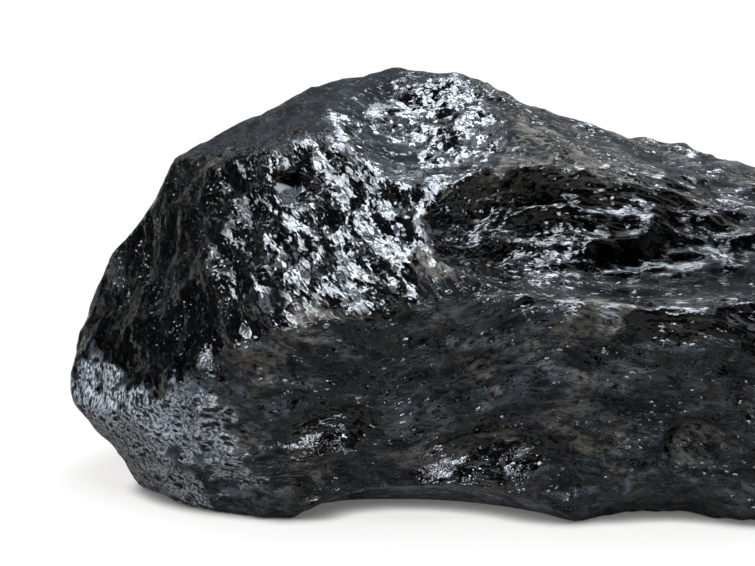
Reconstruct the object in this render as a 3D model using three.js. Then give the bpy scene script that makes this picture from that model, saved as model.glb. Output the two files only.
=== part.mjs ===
// A hand-sized lump of raw morion, the quartz so dark that it looks black, as it broke out of the rock.
// It is one solid: fracture planes bound it, shell-shaped hollows are broken out of them, and chips, flakes
// and small ledges cover every face. The stone lies on a flat spot under its middle.
// Millimetres, +Z up, +X along the stone, -Y its glassy front; the origin is under the middle of its box.
import * as THREE from "three";

// Driving dimensions, in millimetres and degrees
const SPINE_HALF = 70; // half of the line inside the stone that the surface is measured from
const SPINE = [0, 5, 34]; // the middle of that line
const EDGE_WEAR = 1.1; // how far the ridge between two faces is worn round
const RINGS = 69; // rings of points between the two ends
const RING_POINTS = 70; // points in one ring
const END_PACKING = 0.35; // 0 to 1, how much the rings crowd at the ends
const FRONT_PACKING = 0.25; // 0 to 1, how much the points of a ring crowd at the front
const FRONT_RISE = 12; // degrees above level where they crowd most
const CHIP_SIZE = 30;
const FLAKE_SIZE = 10;
const LEDGE_STEP = 8; // from one ledge to the next
const LEDGE_TREAD = 0.4; // share of a step that is tread
const LEDGE_UP = [0.1, 0, 1]; // the way the ledges are stacked
const WARP_SIZE = 22; // length of the slow waves that bend the pattern
const WARP_REACH = 4; // how far they bend it
const REST_BAND = 0.15; // what lies lower than this is flat on the ground
const FAR = 400; // further than any face

// How each kind of surface broke. chips, flakes: depth factor of the bowls; ledges: height of the steps;
// lay: the way the flakes run
const KINDS = {
  ribbed: { chips: 5, flakes: 3.1, ledges: 0, lay: "steep" },
  glittering: { chips: 5, flakes: 3.8, ledges: 0, lay: "even" },
  stepped: { chips: 6, flakes: 4.6, ledges: 1.9, lay: "level" },
  weathered: { chips: 3.5, flakes: 2.8, ledges: 0.5, lay: "level" },
  skin: { chips: 3, flakes: 0.8, ledges: 0, lay: "even" },
  satin: { chips: 8, flakes: 3.2, ledges: 0.2, lay: "even" },
  pitted: { chips: 2.5, flakes: 1.2, ledges: 0, lay: "even" },
  smooth: { chips: 1, flakes: 0.5, ledges: 0, lay: "even" },
  rough: { chips: 7, flakes: 3, ledges: 0.3, lay: "even" },
  flat: { chips: 0, flakes: 0, ledges: 0, lay: "even" },
};

// The way flakes run: their long direction, a direction across it, and their three stretches
const LAYS = {
  even: { along: [1, 0, -0.5], across: [0, 1, 0], stretch: [1.25, 1, 0.9] },
  level: { along: [1, 0, -0.15], across: [0, 1, 0], stretch: [2.2, 1, 0.8] },
  steep: { along: [0.25, -0.35, -0.9], across: [1, 0.2, 0], stretch: [2, 0.85, 0.85] },
};

// Fracture faces: name, a point on the face, azimuth (0 looks along -Y, 90 along +X), tilt above level, kind
const FACES = [
  ["end_left", [-95, -31.5, 33], -50, 28, "ribbed"],
  ["shoulder_left", [-107, 8, 72], -92, 17, "ribbed"],
  ["tip_left", [-119.5, 0, 30], -92, 4, "pitted"],
  ["end_low", [-101, -35, 30], -47, -24, "pitted"],
  ["foot_low", [-80, -38, 4], -34, -12, "pitted"],
  ["belly_left", [-94, -34.5, 33], -18, -6, "satin"],
  ["temple", [-54, -47.5, 57.5], -36, 38, "glittering"],
  ["brow", [-25, -25.5, 83], -12, 44, "glittering"],
  ["crest", [-25, -25, 85.5], -3, 60, "skin"],
  ["crest_left", [-68, 11, 97], -48, 55, "skin"],
  ["roof", [4, 10, 99.5], 28, 59, "weathered"],
  ["roof_right", [60, 0, 85.5], 34, 60, "weathered"],
  ["wall", [14, -46, 60], 6, 30, "stepped"],
  ["belly", [2, -41, 0], -1, -7.5, "satin"],
  ["base", [0, 0, 0], 0, -90, "flat"],
  ["under_left", [-108, -14, 6], -125, -40, "rough"],
  ["back_left", [-90, 30, 50], -140, 20, "rough"],
  ["back", [0, 60, 38], 172, 8, "rough"],
  ["back_top", [-30, 19, 111], 172, 42, "rough"],
  ["back_top_left", [-75, 10, 95], -150, 45, "rough"],
  ["back_top_right", [4, 8, 102.5], 158, 50, "rough"],
  ["back_low", [0, 50, 0], 176, -22, "rough"],
  ["back_right", [88, 38, 35], 128, 14, "rough"],
  ["front_right", [98, -36, 25], 38, -4, "satin"],
  ["end_right", [112, -5, 28], 78, 12, "rough"],
  ["end_right_low", [106, 0, 6], 70, -32, "rough"],
  ["end_right_top", [88, 0, 74], 60, 50, "weathered"],
];

// Hollows broken out of the faces, each a piece of a stretched ball: name, the spot that it is struck at,
// azimuth, tilt, radius, depth, stretch along its long way, turn of that way, kind
const HOLLOWS = [
  ["wall_hollow", [27, -29, 69.5], 4, 50, 25, 9, 2.6, -2, "stepped"],
  ["undercut", [-21, -34.5, 4.5], -14, -58, 22, 2.6, 2.1, 0, "smooth"],
  ["saddle", [21, 11, 94.6], 14, 72, 45, 3.4, 1.35, 0, "weathered"],
  ["notch_right", [34, -40, 0], 0, -40, 46, 5.5, 1, 0, "satin"],
  ["sparkle", [-25, -4, 94], -3, 60, 40, 2.5, 1.15, 10, "glittering"],
  ["eye", [-59.5, -19.5, 81.5], -13, 40, 7.5, 2.6, 1.2, -15, "smooth"],
  ["trough", [-45, -30, 71], -13, 44, 70, 1.7, 0.9, 30, "glittering"],
  ["ledge_left", [-51.7, -44.2, 25.5], -6, -14, 8, 2.6, 2.2, 25, "smooth"],
  ["ledge_middle", [-14.8, -42.8, 18.5], 2, -12, 10, 2.8, 2.1, 8, "smooth"],
  ["ring", [37.3, -43, 22], 2, -8, 8.5, 2.4, 1, 0, "smooth"],
  ["end_left_hollow", [-96, -14, 58], -60, 27, 90, 2.6, 1, 0, "ribbed"],
  ["back_hollow", [-35, 62.5, 50], 172, 8, 62, 6, 1.3, 12, "rough"],
  ["back_low_hollow", [45, 55.5, 22], 174, -8, 40, 5, 1.5, -10, "rough"],
  ["back_right_hollow", [80, 44, 45], 128, 14, 48, 4, 1.2, 0, "rough"],
  ["back_top_hollow", [-40, 39, 90], 172, 42, 50, 4, 1.2, 20, "rough"],
  ["end_right_hollow", [111, 2, 38], 78, 12, 45, 4, 1.1, 10, "rough"],
  ["top_right_hollow", [88, 8, 77], 50, 56, 50, 3, 1.2, 0, "weathered"],
];

// Bowls of the chips and flakes: one point in each cell of a lattice, and seeds that tell the patterns apart
const CHIP_SEED = 2;
const FLAKE_SEED = 5;
const LEDGE_SEED = 3.1;
const WARP_SEEDS = [1.3, 7.7, 4.1];
const BOWL_UNEVEN = 0.35; // how much deeper one bowl is than the next, as a share of a cell squared
const BOWL_MEAN = 0.3; // the mean height of the bowls, so that they neither grow nor shrink the stone
const LEDGE_WAVE = [30, 14, 14]; // size of the waves in the ledges
const LEDGE_WAVE_REACH = 0.9; // of a step
const HASH_ROWS = [
  [127.1, 311.7, 74.7],
  [269.5, 183.3, 246.1],
  [113.5, 271.9, 124.6],
];
const HASH_SCALE = 43758.5453;

const NEIGHBOURS = [-1, 0, 1].flatMap((i) =>
  [-1, 0, 1].flatMap((j) => [-1, 0, 1].map((k) => [i, j, k])),
);
const CORNERS = [0, 1].flatMap((i) => [0, 1].flatMap((j) => [0, 1].map((k) => [i, j, k])));

const dot = (a, b) => a[0] * b[0] + a[1] * b[1] + a[2] * b[2];
const sum = (a, b) => a.map((x, i) => x + b[i]);
const less = (a, b) => a.map((x, i) => x - b[i]);
const times = (a, s) => a.map((x) => x * s);
const unit = (a) => times(a, 1 / Math.hypot(...a));
const cross = (a, b) => [
  a[1] * b[2] - a[2] * b[1],
  a[2] * b[0] - a[0] * b[2],
  a[0] * b[1] - a[1] * b[0],
];
const radians = (degrees) => (degrees * Math.PI) / 180;
const fraction = (x) => x - Math.floor(x);

// The outward direction of a face with this azimuth and tilt.
function facing(azimuth, tilt) {
  const [a, t] = [radians(azimuth), radians(tilt)];
  return [Math.sin(a) * Math.cos(t), -Math.cos(a) * Math.cos(t), Math.sin(t)];
}

// Distance along a ray to a face's plane, with the ray starting inside the stone.
function faceReach([, at, azimuth, tilt]) {
  const normal = facing(azimuth, tilt);
  return (origin, direction) => {
    const slope = dot(direction, normal);
    return slope > 1e-3 ? dot(less(at, origin), normal) / slope : FAR;
  };
}

// Distance along a ray to where it first meets a hollow's ball. The ball is brought to a unit ball at the
// origin, where the distance is the smaller root of a quadratic.
function hollowReach([, at, azimuth, tilt, radius, depth, stretch, turn]) {
  const normal = facing(azimuth, tilt);
  const side = unit(cross([0, 0, 1], normal));
  const up = cross(normal, side);
  const [c, s] = [Math.cos(radians(turn)), Math.sin(radians(turn))];
  const along = sum(times(side, c), times(up, s));
  const across = less(times(up, c), times(side, s));
  const centre = sum(at, times(normal, radius - depth));
  const toBall = (v) =>
    times([dot(v, along) / stretch, dot(v, across), dot(v, normal)], 1 / radius);
  return (origin, direction) => {
    const from = toBall(less(origin, centre));
    const way = toBall(direction);
    const [a, b, c2] = [dot(way, way), dot(from, way), dot(from, from) - 1];
    const root = b * b - a * c2;
    const reach = (-b - Math.sqrt(Math.max(root, 0))) / a;
    return root > 0 && reach > 0 ? reach : FAR;
  };
}

const REACHES = [...FACES.map(faceReach), ...HOLLOWS.map(hollowReach)];
const KIND_OF = [...FACES, ...HOLLOWS].map((row) => KINDS[row.at(-1)]);

// Three numbers from 0 to 1 for a lattice cell, the same every time.
function hash(cell, seed) {
  return HASH_ROWS.map((row) => fraction(Math.sin(dot(cell, row) + seed) * HASH_SCALE));
}

// Relief of overlapping bowls, as flakes leave it: the least squared distance to the cells' points, each
// raised or lowered a little. Two bowls meet in a sharp ridge.
function bowls(point, seed) {
  const cell = point.map(Math.floor);
  let lowest = FAR;
  for (const step of NEIGHBOURS) {
    const near = sum(cell, step);
    const spot = hash(near, seed);
    const away = less(point, sum(near, spot));
    lowest = Math.min(lowest, dot(away, away) + BOWL_UNEVEN * (spot[0] - 0.5));
  }
  return lowest;
}

// Smooth noise from -1 to 1: hashed values at the lattice's corners, blended between them.
function noise(point, seed) {
  const cell = point.map(Math.floor);
  const at = point.map((x) => fraction(x) * fraction(x) * (3 - 2 * fraction(x)));
  let value = 0;
  for (const corner of CORNERS) {
    const share = corner.reduce((w, on, i) => w * (on ? at[i] : 1 - at[i]), 1);
    value += share * hash(sum(cell, corner), seed)[0];
  }
  return 2 * value - 1;
}

// A lay as three rows that turn and squeeze a point into the flakes' own lattice.
function layRows({ along, across, stretch }) {
  const x = unit(along);
  const y = unit(less(across, times(x, dot(across, x))));
  return [x, y, cross(x, y)].map((row, i) => times(row, 1 / stretch[i]));
}

const LAY_ROWS = Object.fromEntries(Object.entries(LAYS).map(([k, lay]) => [k, layRows(lay)]));

// Height of the ledges: a step rises over its tread and falls back over the rest, from -0.5 to 0.5.
function ledge(point) {
  const wave = noise(point.map((x, i) => x / LEDGE_WAVE[i]), LEDGE_SEED);
  const at = fraction(dot(point, unit(LEDGE_UP)) / LEDGE_STEP + LEDGE_WAVE_REACH * wave);
  return (at < LEDGE_TREAD ? at / LEDGE_TREAD : (1 - at) / (1 - LEDGE_TREAD)) - 0.5;
}

// How far the broken surface stands out from the smooth one at a point. shares: how much of each face or
// hollow is felt there.
function relief(point, shares) {
  const bent = sum(
    point,
    WARP_SEEDS.map((seed) => WARP_REACH * noise(times(point, 1 / WARP_SIZE), seed)),
  );
  const amount = (key) => shares.reduce((total, w, i) => total + w * KIND_OF[i][key], 0);
  const [chips, flakes] = [amount("chips"), amount("flakes")];
  let height = -amount("ledges") * ledge(bent);
  for (const [lay, rows] of Object.entries(LAY_ROWS)) {
    const share = shares.reduce((total, w, i) => total + (KIND_OF[i].lay === lay ? w : 0), 0);
    if (share < 1e-4) continue;
    const turned = rows.map((row) => dot(row, bent));
    const chip = bowls(times(turned, 1 / CHIP_SIZE), CHIP_SEED) - BOWL_MEAN;
    const flake = bowls(times(turned, 1 / FLAKE_SIZE), FLAKE_SEED) - BOWL_MEAN;
    height += share * (chips * chip + flakes * flake);
  }
  return height;
}

// The stone's surface along one ray: the nearest face or hollow, with its edges worn round by a soft
// minimum, and the relief added.
function surfacePoint(origin, direction) {
  const reaches = REACHES.map((reach) => reach(origin, direction));
  const nearest = Math.min(...reaches);
  const felt = reaches.map((r) => Math.exp((nearest - r) / EDGE_WEAR));
  const total = felt.reduce((a, b) => a + b);
  const reach = nearest - EDGE_WEAR * Math.log(total);
  const smooth = sum(origin, times(direction, reach));
  const height = relief(smooth, felt.map((w) => w / total));
  const point = sum(smooth, times(direction, height));
  if (point[2] < REST_BAND) point[2] = 0;
  return point;
}

// The ray for a place on the stone. along turns it from the left end, 0, to the right end, pi, while its
// start slides along the spine; around turns it about the spine, with 0 at the front.
function ray(along, around) {
  const origin = sum(SPINE, [-SPINE_HALF * Math.cos(along), 0, 0]);
  const out = Math.sin(along);
  return [origin, [-Math.cos(along), -out * Math.cos(around), out * Math.sin(around)]];
}

// All points, ring by ring from left to right, with the two ends last.
function stonePoints() {
  const points = [];
  for (let i = 1; i <= RINGS; i++) {
    const turn = (2 * Math.PI * i) / (RINGS + 1);
    const along = turn / 2 + (END_PACKING * Math.sin(turn)) / 2;
    for (let j = 0; j < RING_POINTS; j++) {
      const place = (2 * Math.PI * j) / RING_POINTS;
      const around = place + FRONT_PACKING * Math.sin(place) - Math.PI + radians(FRONT_RISE);
      points.push(surfacePoint(...ray(along, around)));
    }
  }
  points.push(surfacePoint(...ray(0, 0)), surfacePoint(...ray(Math.PI, 0)));
  return points;
}

// Two triangles between each four neighbours, and a fan at each end.
function stoneFaces() {
  const faces = [];
  const leftEnd = RINGS * RING_POINTS;
  const lastRing = leftEnd - RING_POINTS;
  for (let j = 0; j < RING_POINTS; j++) {
    const next = (j + 1) % RING_POINTS;
    faces.push(leftEnd, j, next, leftEnd + 1, lastRing + next, lastRing + j);
    for (let ring = 0; ring < lastRing; ring += RING_POINTS) {
      const [a, b] = [ring + j, ring + RING_POINTS + j];
      const [c, d] = [ring + RING_POINTS + next, ring + next];
      faces.push(a, b, c, a, c, d);
    }
  }
  return faces;
}

// The stone as one closed mesh, moved so that the middle of its box is over the origin.
function makeStone() {
  const geometry = new THREE.BufferGeometry();
  const flat = new Float32Array(stonePoints().flat());
  geometry.setAttribute("position", new THREE.BufferAttribute(flat, 3));
  geometry.setIndex(stoneFaces());
  geometry.computeBoundingBox();
  const middle = geometry.boundingBox.getCenter(new THREE.Vector3());
  geometry.translate(-middle.x, -middle.y, 0);
  geometry.computeVertexNormals();
  const material = new THREE.MeshStandardMaterial({
    color: 0x1c1d20,
    roughness: 0.25,
    metalness: 0,
    flatShading: true,
  });
  const stone = new THREE.Mesh(geometry, material);
  stone.name = "morion_quartz";
  return stone;
}

const lump = new THREE.Group();
lump.add(makeStone());
export default lump;
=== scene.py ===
"""Raw morion: a hand-sized lump of black smoky quartz, as it broke out of the rock.

The stone is one closed surface. Its plain form is bounded by fracture planes with shell-shaped hollows
broken out of them, as in the solid it replaces, and flakes, splinters and grit are laid over that form.
Sizes in the tables are millimetres. Everything that reaches Blender is metres, +Z up, and the stone lies
on z = 0.
"""

import math

import bpy
import numpy as np
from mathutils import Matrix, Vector


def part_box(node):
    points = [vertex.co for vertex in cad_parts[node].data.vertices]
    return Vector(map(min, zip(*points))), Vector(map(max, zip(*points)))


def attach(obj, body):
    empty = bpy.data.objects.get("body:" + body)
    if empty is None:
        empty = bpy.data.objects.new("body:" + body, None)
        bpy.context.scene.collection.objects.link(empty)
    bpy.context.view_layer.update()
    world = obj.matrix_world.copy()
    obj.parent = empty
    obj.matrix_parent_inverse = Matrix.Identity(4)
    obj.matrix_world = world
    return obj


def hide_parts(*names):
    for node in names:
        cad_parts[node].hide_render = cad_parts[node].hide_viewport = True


bl_info = {
    "name": "Raw Morion",
    "version": (1, 0, 0),
    "blender": (4, 5, 0),
    "location": "View3D > Sidebar > Morion",
    "description": "Builds a rough lump of black quartz and the table it is shown on",
    "category": "Add Mesh",
}

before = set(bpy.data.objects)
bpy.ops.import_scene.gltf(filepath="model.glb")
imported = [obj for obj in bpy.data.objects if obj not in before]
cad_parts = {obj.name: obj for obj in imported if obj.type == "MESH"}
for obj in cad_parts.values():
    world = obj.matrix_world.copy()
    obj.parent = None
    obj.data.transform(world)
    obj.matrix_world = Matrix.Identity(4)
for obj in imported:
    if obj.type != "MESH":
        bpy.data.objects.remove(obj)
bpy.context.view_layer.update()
STONE_NODE = "morion_quartz"
MM = 0.001

# ----------------------------------------------------------------------------------------------------------
# The stone's plan, in millimetres and degrees
# ----------------------------------------------------------------------------------------------------------

SPINE = (0.0, 5.0, 34.0)  # middle of the line inside the stone that the surface is measured from
FAR = 400.0  # further than any face
GRAZING = 1e-3  # a ray with less slope than this to a face never meets it
REST_BAND = 0.15  # what lies lower than this is flat on the ground
LEDGE_TREAD = 0.4  # share of a ledge that is tread
LEDGE_UP = (0.1, 0.0, 1.0)  # the way the ledges are stacked
LEDGE_WAVE = (30.0, 14.0, 14.0)  # length of the waves in a ledge, along X, Y and Z
LEDGE_WAVE_REACH = 0.9  # how far they push it, in ledges
WARP_SIZE = 22.0  # length of the slow waves that bend the pattern
WARP_REACH = 4.0  # how far they bend the chips and flakes
FINE_WARP_REACH = 2.0  # and the splinters and grit
ARCH_MIDDLE, ARCH_HALF, ARCH_RADIUS = 22.0, 60.0, 130.0  # the arch that the finer pattern follows
BOWL_UNEVEN = 0.35  # how much bowls differ in depth
BOWL_MEAN = 0.30  # mean of the bowls' relief, taken off so that the stone keeps its size
LEAST_SHARE = 1e-3  # a lay with less share of a point than this is left out there
RIDGE_WIDTH = 0.5  # width of a worn ridge between two kinds of surface
BORDER_WIDTH = 1.0  # width over which one finish gives way to another
BORDER_WAVE = 9.0  # length of the waves in the borders between two finishes
BORDER_REACH = 1.3  # how far they push a border about
PATCH_REACH = 1.3  # how far a patch is felt, in radii
PATCH_WAVES = ((0.35, 4.0), (0.25, 1.7))  # reach, in radii, and length of the waves in a patch's rim
CHIP_SEED, FLAKE_SEED, SPLINTER_SEED, GRIT_SEED = 2.0, 5.0, 9.0, 12.0
LEDGE_SEED, WARP_SEEDS, BORDER_SEED, BORDER_SEED_STEP = 3.1, (1.3, 7.7, 4.1), 21.0, 3.7
HASH_ROWS = ((127.1, 311.7, 74.7), (269.5, 183.3, 246.1), (113.5, 271.9, 124.6))
HASH_SCALE = 43758.5453

# Kinds of broken surface. Depth factors of chips, flakes, splinters and grit, height of the ledges, lay of
# the chips and flakes, lay of all that is finer, then the finish: crust, brown veil, facets, pits, wisps,
# glints, gloss of the fresh glass, tone of the crust
KINDS = {
    "ribbed": (5.0, 2.2, 0.7, 0.3, 0.0, "steep", "steep", 0.0, 0.0, 0.6, 0.0, 0.5, 0.05, 0.25, 1.0),
    "glittering": (3.2, 2.9, 0.9, 0.3, 0.0, "even", "slant", 0.0, 0.05, 1.5, 0.0, 0.1, 0.1, 1.0, 1.0),
    "sparkling": (3.6, 2.8, 1.2, 0.5, 0.0, "even", "even", 0.0, 0.0, 1.25, 0.0, 0.0, 0.0, 1.25, 1.0),
    "shelf": (2.0, 2.6, 1.6, 0.9, 0.0, "even", "level", 0.1, 0.2, 1.8, 0.0, 0.0, 0.1, 0.9, 1.0),
    # shell: its film dulls the eye's hollow to grey, painted shade where bare glass would mirror the lamp
    "shell": (1.0, 0.5, 0.3, 0.1, 0.0, "even", "even", 0.6, 0.0, 0.3, 0.0, 0.0, 0.0, 1.0, 0.8),
    "stepped": (6.0, 4.6, 1.6, 0.5, 1.2, "level", "level", 0.0, 0.2, 1.1, 0.0, 0.3, 0.05, 0.75, 1.0),
    "weathered": (3.5, 2.8, 1.6, 0.5, 0.5, "level", "level", 0.3, 0.45, 1.8, 0.0, 0.2, 0.07, 0.9, 0.9),
    "skin": (2.4, 0.8, 0.35, 0.15, 0.0, "even", "even", 0.64, 0.1, 0.8, 0.0, 0.3, 0.0, 1.0, 0.6),
    "satin": (8.0, 3.2, 1.4, 0.5, 0.2, "even", "tilted", 0.50, 0.22, 1.7, 0.0, 0.4, 0.035, 0.9, 2.45),
    "pitted": (2.5, 1.2, 0.5, 0.25, 0.0, "even", "even", 0.9, 0.1, 0.4, 1.0, 0.0, 0.0, 1.0, 2.8),
    # smooth: its tone of 9 is painted light, a pale film standing in for the bright table mirrored in the
    # undercut
    "smooth": (1.0, 0.5, 0.2, 0.1, 0.0, "even", "even", 0.8, 0.0, 0.2, 0.0, 0.0, 0.0, 1.0, 9.0),
    "rough": (7.0, 3.0, 1.2, 0.35, 0.3, "even", "even", 0.45, 0.5, 1.4, 0.1, 0.2, 0.05, 0.9, 1.0),
    "flat": (0.0, 0.0, 0.0, 0.0, 0.0, "even", "even", 0.9, 0.3, 0.2, 0.2, 0.0, 0.0, 1.0, 1.0),
}
FORM, COARSE_LAY, FINE_LAY, FINISH = slice(0, 5), 5, 6, slice(7, None)  # columns of that table
FINISHES = ("crust", "veil", "facets", "pits", "wisps", "glints", "gloss", "tone")
GLINT_FACING = (-9.0, 47.0)  # azimuth and tilt that the cleavage glints share
GLINT_SIZE, GLINT_SLOPE, GLINT_SPREAD = 0.5, 0.9, 0.28  # size, slope to that facing, and its scatter
GLINT_SQUEEZE = (0.5, 1.0, 1.0)  # the place is squeezed so much, which draws them out along X
GLINT_WAVES, GLINT_WAVE_REACH = 1.6, 0.25  # waves in their outlines, to a millimetre, and their reach
GLINT_DRAW = 37.0  # the fraction of a cell's colour times this says whether it is a glint

# The way flakes run: their long direction, a direction across it, and their three stretches
LAYS = {
    "even": ((1.0, 0.0, -0.5), (0.0, 1.0, 0.0), (1.25, 1.0, 0.9)),
    "level": ((1.0, 0.0, -0.15), (0.0, 1.0, 0.0), (2.2, 1.0, 0.8)),
    "tilted": ((1.0, 0.0, -0.1), (0.0, 1.0, 0.0), (1.5, 1.0, 0.9)),
    "slant": ((0.45, -0.64, -0.56), (1.0, 0.9, 0.0), (2.4, 0.9, 0.8)),
    "steep": ((0.25, -0.35, -0.9), (1.0, 0.2, 0.0), (2.0, 0.85, 0.85)),
}

# Fracture faces: name, a point on the face, azimuth (0 looks along -Y, 90 along +X), tilt above level, kind
FACES = (
    ("end_left", (-95, -31.5, 33), -50, 28, "ribbed"),
    ("shoulder_left", (-107, 8, 72), -92, 17, "ribbed"),
    ("tip_left", (-119.5, 0, 30), -92, 4, "pitted"),
    ("end_low", (-101, -35, 30), -47, -24, "pitted"),
    ("foot_low", (-80, -38, 4), -34, -12, "pitted"),
    ("belly_left", (-94, -34.5, 33), -18, -6, "satin"),
    ("temple", (-54, -47.5, 57.5), -36, 38, "glittering"),
    ("brow", (-25, -25.5, 83), -12, 44, "glittering"),
    ("crest", (-25, -25, 85.5), -3, 60, "skin"),
    ("crest_left", (-68, 11, 97), -48, 55, "skin"),
    ("roof", (4, 10, 99.5), 28, 59, "weathered"),
    ("roof_right", (60, 0, 85.5), 34, 60, "weathered"),
    ("wall", (14, -46, 60), 6, 30, "stepped"),
    ("belly", (2, -41, 0), -1, -7.5, "satin"),
    ("base", (0, 0, 0), 0, -90, "flat"),
    ("under_left", (-108, -14, 6), -125, -40, "rough"),
    ("back_left", (-90, 30, 50), -140, 20, "rough"),
    ("back", (0, 60, 38), 172, 8, "rough"),
    ("back_top", (-30, 19, 111), 172, 42, "rough"),
    ("back_top_left", (-75, 10, 95), -150, 45, "rough"),
    ("back_top_right", (4, 8, 102.5), 158, 50, "rough"),
    ("back_low", (0, 50, 0), 176, -22, "rough"),
    ("back_right", (88, 38, 35), 128, 14, "rough"),
    ("front_right", (98, -36, 25), 38, -4, "satin"),
    ("end_right", (112, -5, 28), 78, 12, "rough"),
    ("end_right_low", (106, 0, 6), 70, -32, "rough"),
    ("end_right_top", (88, 0, 74), 60, 50, "weathered"),
)

# Hollows, each a piece of a stretched ball: name, the spot that it is struck at, azimuth, tilt, radius,
# depth, stretch along its long way, turn of that way, kind
HOLLOWS = (
    ("wall_hollow", (27, -29, 69.5), 4, 50, 25, 9, 2.6, -2, "stepped"),
    # The undercut's pale band is painted light, through the tone of its smooth kind
    ("undercut", (-21, -34.5, 4.5), -14, -58, 22, 2.6, 2.1, 0, "smooth"),
    ("saddle", (26, 10.6, 93.4), 14, 72, 45, 3.4, 1.5, 0, "weathered"),
    ("notch_right", (34, -40, 0), 0, -40, 46, 5.5, 1, 0, "satin"),
    ("sparkle", (-25, -4, 94), -3, 57, 40, 2.8, 1.15, 10, "sparkling"),
    ("eye", (-61.5, -19, 82), -13, 40, 8.5, 3.0, 1.15, -15, "shell"),
    ("trough", (-45, -30, 71), -13, 44, 70, 1.7, 0.9, 30, "glittering"),
    ("ledge_left", (-51.7, -44.2, 25.5), -6, -14, 8, 2.6, 2.2, 25, "shelf"),
    ("ledge_middle", (-14.8, -42.8, 18.5), 2, -12, 10, 2.8, 2.1, 8, "shelf"),
    ("ring", (37.3, -43, 22), 2, -8, 8.5, 2.4, 1, 0, "satin"),
    ("end_left_hollow", (-96, -14, 58), -60, 27, 90, 2.6, 1, 0, "ribbed"),
    ("back_hollow", (-35, 62.5, 50), 172, 8, 62, 6, 1.3, 12, "rough"),
    ("back_low_hollow", (45, 55.5, 22), 174, -8, 40, 5, 1.5, -10, "rough"),
    ("back_right_hollow", (80, 44, 45), 128, 14, 48, 4, 1.2, 0, "rough"),
    ("back_top_hollow", (-40, 39, 90), 172, 42, 50, 4, 1.2, 20, "rough"),
    ("end_right_hollow", (111, 2, 38), 78, 12, 45, 4, 1.1, 10, "rough"),
    ("top_right_hollow", (88, 8, 77), 50, 56, 50, 3, 1.2, 0, "weathered"),
    ("roof_hollow", (40, 14, 87.6), 20, 68, 40, 1.2, 1.2, 0, "weathered"),
)

# Changes of the finish that the patches below name: what is added to the finish of the kind there
BROWN_FAINT, BROWN, BROWN_STRONG = {"veil": 0.45}, {"veil": 0.5}, {"veil": 0.55}
DARK_END = {"crust": -0.5, "facets": -0.25, "wisps": -0.4}
# Painted shade: the gloss is cut where the temple, turned from the lamps, should stay dark
PAINTED_TEMPLE_SHADE = {"gloss": -0.8}
# Painted shade: bare glass with almost no gloss, black in the top of the eye's hollow
PAINTED_EYE_SHADE = {"crust": -1.0, "facets": -1.3, "gloss": -0.95, "glints": -0.1}
# Painted shade: less gloss and facets, so the wall hollow's up-facing floor does not mirror the lamps
PAINTED_HOLLOW_SHADE = {"facets": -0.5, "gloss": -0.5, "glints": -0.12}
# Painted shade: a dark, dull film with a few glints, over glass at the foot of the wall hollow that would
# mirror the lamps
PAINTED_FOOT_SHADE = {"crust": 0.9, "glints": 0.12, "tone": -0.8}
ROOF_FILM = {"crust": 0.35, "facets": -0.9, "glints": -0.07}
TIP_FILM = {"crust": 0.9, "pits": 0.62, "wisps": -0.3, "tone": 1.8}
RIB_GLEAM = {"veil": 0.3, "facets": 0.5, "glints": 1.5}
LENS_GLEAM = {"crust": -0.6, "glints": 2.0, "gloss": 1.4}
SHELF_GLEAM = {"crust": -0.6, "glints": 2.0, "gloss": 1.2}

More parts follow.
